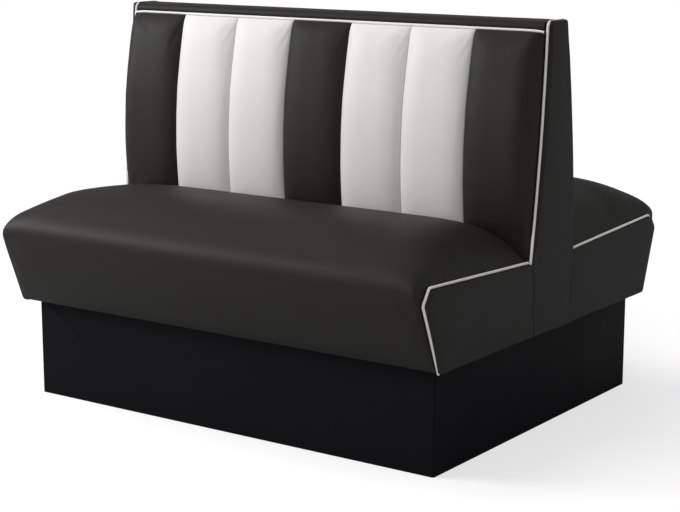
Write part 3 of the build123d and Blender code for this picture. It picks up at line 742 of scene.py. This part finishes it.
# top cap: a strip of vinyl over thin foam on the top rail, rounded over to both sides and a little wavy
cap = {
    "half": ((0.0440, 0.9213), (0.0462, 0.9240), (0.0468, 0.9275), (0.0462, 0.9312), (0.0440, 0.9348),
             (0.0400, 0.9378), (0.0340, 0.9396), (0.0220, 0.9406), (0.0080, 0.9410)),
    "cuts": 70, "waver": 0.0004, "waverAbove": 0.923, "waves": (9, 20, 20),
}


def makeCap():
    left = [(-y, z) for y, z in cap["half"]]
    right = [(y, z) for y, z in reversed(cap["half"])]
    piece = makeOutline("topCap", left + right, -booth["coverEnd"])
    selectOnly(piece)
    bpy.ops.object.mode_set(mode="EDIT")
    bpy.ops.mesh.select_all(action="SELECT")
    bpy.ops.mesh.extrude_region_move(TRANSFORM_OT_translate={"value": (2 * booth["coverEnd"], 0, 0)})
    bpy.ops.object.mode_set(mode="OBJECT")
    pickNothing("EDGE")
    mesh = piece.data
    pickLongEdges(mesh, 0, 1.0)
    bpy.ops.mesh.subdivide(number_cuts=cap["cuts"])
    bpy.ops.object.mode_set(mode="OBJECT")
    for vertex in mesh.vertices:
        if vertex.co.z > cap["waverAbove"]:
            wave = noise.noise(vertex.co * Vector(cap["waves"]))
            vertex.co.z += cap["waver"] * wave
            vertex.co.y += cap["waver"] * wave * (1 if vertex.co.y > 0 else -1)
    mesh.update()
    return piece


finishPiece(makeCap(), blackVinyl, ("back_top_cap",), 60)
print("panels and cap made")


# a cord in a folded strip of vinyl, as lines of depth and height along the seams. The left end of a bench has
# its piping drawn back, so that it hides behind the cushion
piping = {
    "seat": ((-0.4734, 0.2370), (-0.537, 0.394), (-0.514, 0.428), (-0.1035, 0.410)), "drawn": 0.0055,
    "backFoot": (0.0963, 0.4040), "backTop": 0.0395, "drop": 0.0015,
    "cross": ((0, -0.0478, 0.9162), (0.010, -0.0487, 0.9178), (0.026, -0.049, 0.9189)),
    "crossMiddle": (0, -0.049, 0.919), "crossShort": 0.0040,    # dips at its ends, under the side piping
    "turnSeat": 0.0095, "turnBack": 0.014, "pointsApart": 0.004, "waver": 0.00025, "waverScale": 25,
}


def makePiping(name, lines, seed):
    noise.seed_set(seed)        # otherwise noise_vector starts from the clock
    deselectAll()
    bpy.ops.curve.primitive_bezier_curve_add()
    piece = nameIt(bpy.context.object, name)
    curve = piece.data
    curve.splines.clear()
    curve.dimensions = "3D"
    curve.bevel_depth = booth["pipingRadius"]
    curve.bevel_resolution = 4
    curve.use_fill_caps = True
    for line in lines:
        points = np.array([tuple(p) for p in line])
        length = np.linalg.norm(np.diff(points, axis=0), axis=1).sum()
        points = evenly(points, int(length / piping["pointsApart"]))
        spline = curve.splines.new("POLY")
        spline.points.add(len(points) - 1)
        for spot, place in zip(spline.points, points):
            place = Vector(place)
            wobble = noise.noise_vector(place * piping["waverScale"] + Vector((seed, 0, 0))) * piping["waver"]
            spot.co = (*(place + wobble), 1)
    bpy.ops.object.convert(target="MESH")
    return bpy.context.object


def seatPipingLine(side):
    x = side * booth["halfWidth"]
    slack = piping["drawn"] if side < 0 else 0
    corners = [(x, y + slack, z) for y, z in piping["seat"][:-1]] + [(x, *piping["seat"][-1])]
    return turnedLine(corners, [piping["turnSeat"]] * 2)


def backPipingLine(side):
    x, top = side * booth["halfWidth"], booth["height"] - piping["drop"]
    (foot, low), shoulder = piping["backFoot"], piping["backTop"]
    corners = ((x, -foot, low), (x, -shoulder, top), (x, shoulder, top), (x, foot, low))
    points = evenly(np.array([tuple(p) for p in turnedLine(corners, [piping["turnBack"]] * 2)]), 260)
    points[:, 0] += side * bowAt(points[:, 2])
    return points


frontPiping = makePiping("frontSeatPiping", [seatPipingLine(-1), seatPipingLine(1)], 3)
rearPiping = turnedCopy(frontPiping, "rearSeatPiping")
finishPiece(frontPiping, pipingVinyl, ("front_seat_piping",), 60)
finishPiece(rearPiping, pipingVinyl, ("rear_seat_piping",), 60)
sidePiping = makePiping("backSidePiping", [backPipingLine(-1), backPipingLine(1)], 7)
finishPiece(sidePiping, pipingVinyl, ("back_side_piping",), 60)

endX = booth["halfWidth"] - piping["crossShort"]
leftEnd = [(-endX + x, y, z) for x, y, z in piping["cross"]]
rightEnd = [(endX - x, y, z) for x, y, z in reversed(piping["cross"])]
frontCross = makePiping("frontCrossPiping", [leftEnd + [piping["crossMiddle"]] + rightEnd], 11)
rearCross = turnedCopy(frontCross, "rearCrossPiping")
finishPiece(frontCross, pipingVinyl, ("back_front_cross_piping",), 60)
finishPiece(rearCross, pipingVinyl, ("back_rear_cross_piping",), 60)
print("piping made")


# the leatherette round the plinth, with a sewn valley down each corner
plinth = {
    "size": (1.146, 0.898), "foot": 0.0006, "top": 0.2358, "corner": 0.0024, "valley": 0.08, "skin": 0.00135,
}


def makePlinth():
    deselectAll()
    bpy.ops.mesh.primitive_cube_add(size=1, location=(0, 0, (plinth["foot"] + plinth["top"]) / 2))
    piece = nameIt(bpy.context.object, "plinthCover")
    piece.scale = (*plinth["size"], plinth["top"] - plinth["foot"])
    bpy.ops.object.transform_apply(location=True, rotation=True, scale=True)
    mesh = piece.data
    pickNothing("FACE")
    for face in mesh.polygons:
        face.select = abs(face.normal.z) > 0.9
    bpy.ops.object.mode_set(mode="EDIT")
    bpy.ops.mesh.delete(type="ONLY_FACE")
    bpy.ops.object.mode_set(mode="OBJECT")
    pickNothing("EDGE")
    pickLongEdges(mesh, 2, 0.1)
    bpy.ops.mesh.bevel(offset=plinth["corner"], offset_type="OFFSET", segments=4, profile=plinth["valley"],
                       affect="EDGES")
    bpy.ops.object.mode_set(mode="OBJECT")
    bpy.ops.object.modifier_add(type="SOLIDIFY")
    wall = piece.modifiers[-1]
    wall.thickness = plinth["skin"]
    wall.offset = -1
    bpy.ops.object.modifier_apply(modifier=wall.name)
    return piece


finishPiece(makePlinth(), plinthLeatherette, ("plinth_cover",), 40)
print("plinth made")


# finishes of the CAD nodes, the hidden ones too
upholstered = ("foam", "cover", "panel", "piping", "channel", "cap")
for name, node in nodes.items():
    if name == "glides":
        material = glidePlastic
    elif name == "frame_bolts":
        material = zincSteel
    elif any(word in name for word in upholstered):
        material = blackVinyl
    else:
        material = birchPlywood
    node.data.materials.clear()
    node.data.materials.append(material)


# the suns and the sky leave colours about as written; the soft box stands near, so its light fades to the
# right
stage = {
    "floor": "#b6b6b6", "floorSize": 60, "lift": 0.62, "sky": 0.37, "sunFar": 4,
    "key": {"towards": (-0.56, -0.20, 0.80), "strength": 1.55, "angle": 0.75},
    "fill": {"towards": (0.28, -0.85, 0.45), "strength": 0.47, "angle": 0.5},
    "box": {"place": (-2.3, -1.65, 1.75), "aim": (0.0, -0.2, 0.55), "size": 1.1, "power": 43},
}


def makeFloor():
    material, tree = newMaterial("paleFloor")
    path = addNode(tree, "ShaderNodeLightPath").outputs["Is Camera Ray"]
    matt = addNode(tree, "ShaderNodeBsdfDiffuse", {"Color": hexColour(stage["floor"])}).outputs["BSDF"]
    glow = addNode(tree, "ShaderNodeEmission",
                   {"Color": (1, 1, 1, 1), "Strength": stage["lift"]}).outputs["Emission"]
    both = addNode(tree, "ShaderNodeAddShader", None, {0: matt, 1: glow}).outputs["Shader"]
    seen = addNode(tree, "ShaderNodeMixShader", None, {0: path, 1: matt, 2: both}).outputs["Shader"]
    addNode(tree, "ShaderNodeOutputMaterial", None, {"Surface": seen})
    deselectAll()
    bpy.ops.mesh.primitive_plane_add(size=stage["floorSize"])
    floor = nameIt(bpy.context.object, "floor")
    floor.data.materials.append(material)


def makeSky():
    world = bpy.data.worlds.new("studio")
    scene.world = world
    world.use_nodes = True
    tree = world.node_tree
    tree.nodes.clear()
    path = addNode(tree, "ShaderNodeLightPath").outputs["Is Camera Ray"]
    soft = addNode(tree, "ShaderNodeBackground",
                   {"Color": (1, 1, 1, 1), "Strength": stage["sky"]}).outputs["Background"]
    white = addNode(tree, "ShaderNodeBackground",
                    {"Color": (1, 1, 1, 1), "Strength": 1.0}).outputs["Background"]
    seen = addNode(tree, "ShaderNodeMixShader", None, {0: path, 1: soft, 2: white}).outputs["Shader"]
    addNode(tree, "ShaderNodeOutputWorld", None, {"Surface": seen})


# a sun that makes no glint of its own
def addSun(name, facts):
    towards = Vector(facts["towards"])
    deselectAll()
    bpy.ops.object.light_add(type="SUN", location=towards * stage["sunFar"])
    lamp = nameIt(bpy.context.object, name)
    lamp.data.energy = facts["strength"]
    lamp.data.angle = facts["angle"]
    lamp.rotation_euler = (-towards).to_track_quat("-Z", "Y").to_euler()
    lamp.visible_glossy = False


def addSoftBox(name, facts):
    deselectAll()
    bpy.ops.object.light_add(type="AREA", location=facts["place"])
    lamp = nameIt(bpy.context.object, name)
    lamp.data.energy = facts["power"]
    lamp.data.size = facts["size"]
    way = Vector(facts["aim"]) - Vector(facts["place"])
    lamp.rotation_euler = way.to_track_quat("-Z", "Y").to_euler()


makeFloor()
makeSky()
addSun("keyLight", stage["key"])
addSun("fillLight", stage["fill"])
addSoftBox("softBox", stage["box"])

# the camera that was worked out from the corners of the booth in the photo
view = {"place": (2.4505, -3.4502, 1.2086), "yaw": 0.615, "pitch": 0.203, "lens": 92.55, "sensor": 36}
deselectAll()
bpy.ops.object.camera_add(location=view["place"], rotation=(math.pi / 2 - view["pitch"], 0, view["yaw"]))
camera = nameIt(bpy.context.object, "photoCamera")
camera.data.lens = view["lens"]
camera.data.sensor_width = view["sensor"]
scene.camera = camera
scene.view_settings.view_transform = "Standard"
print("stage made")
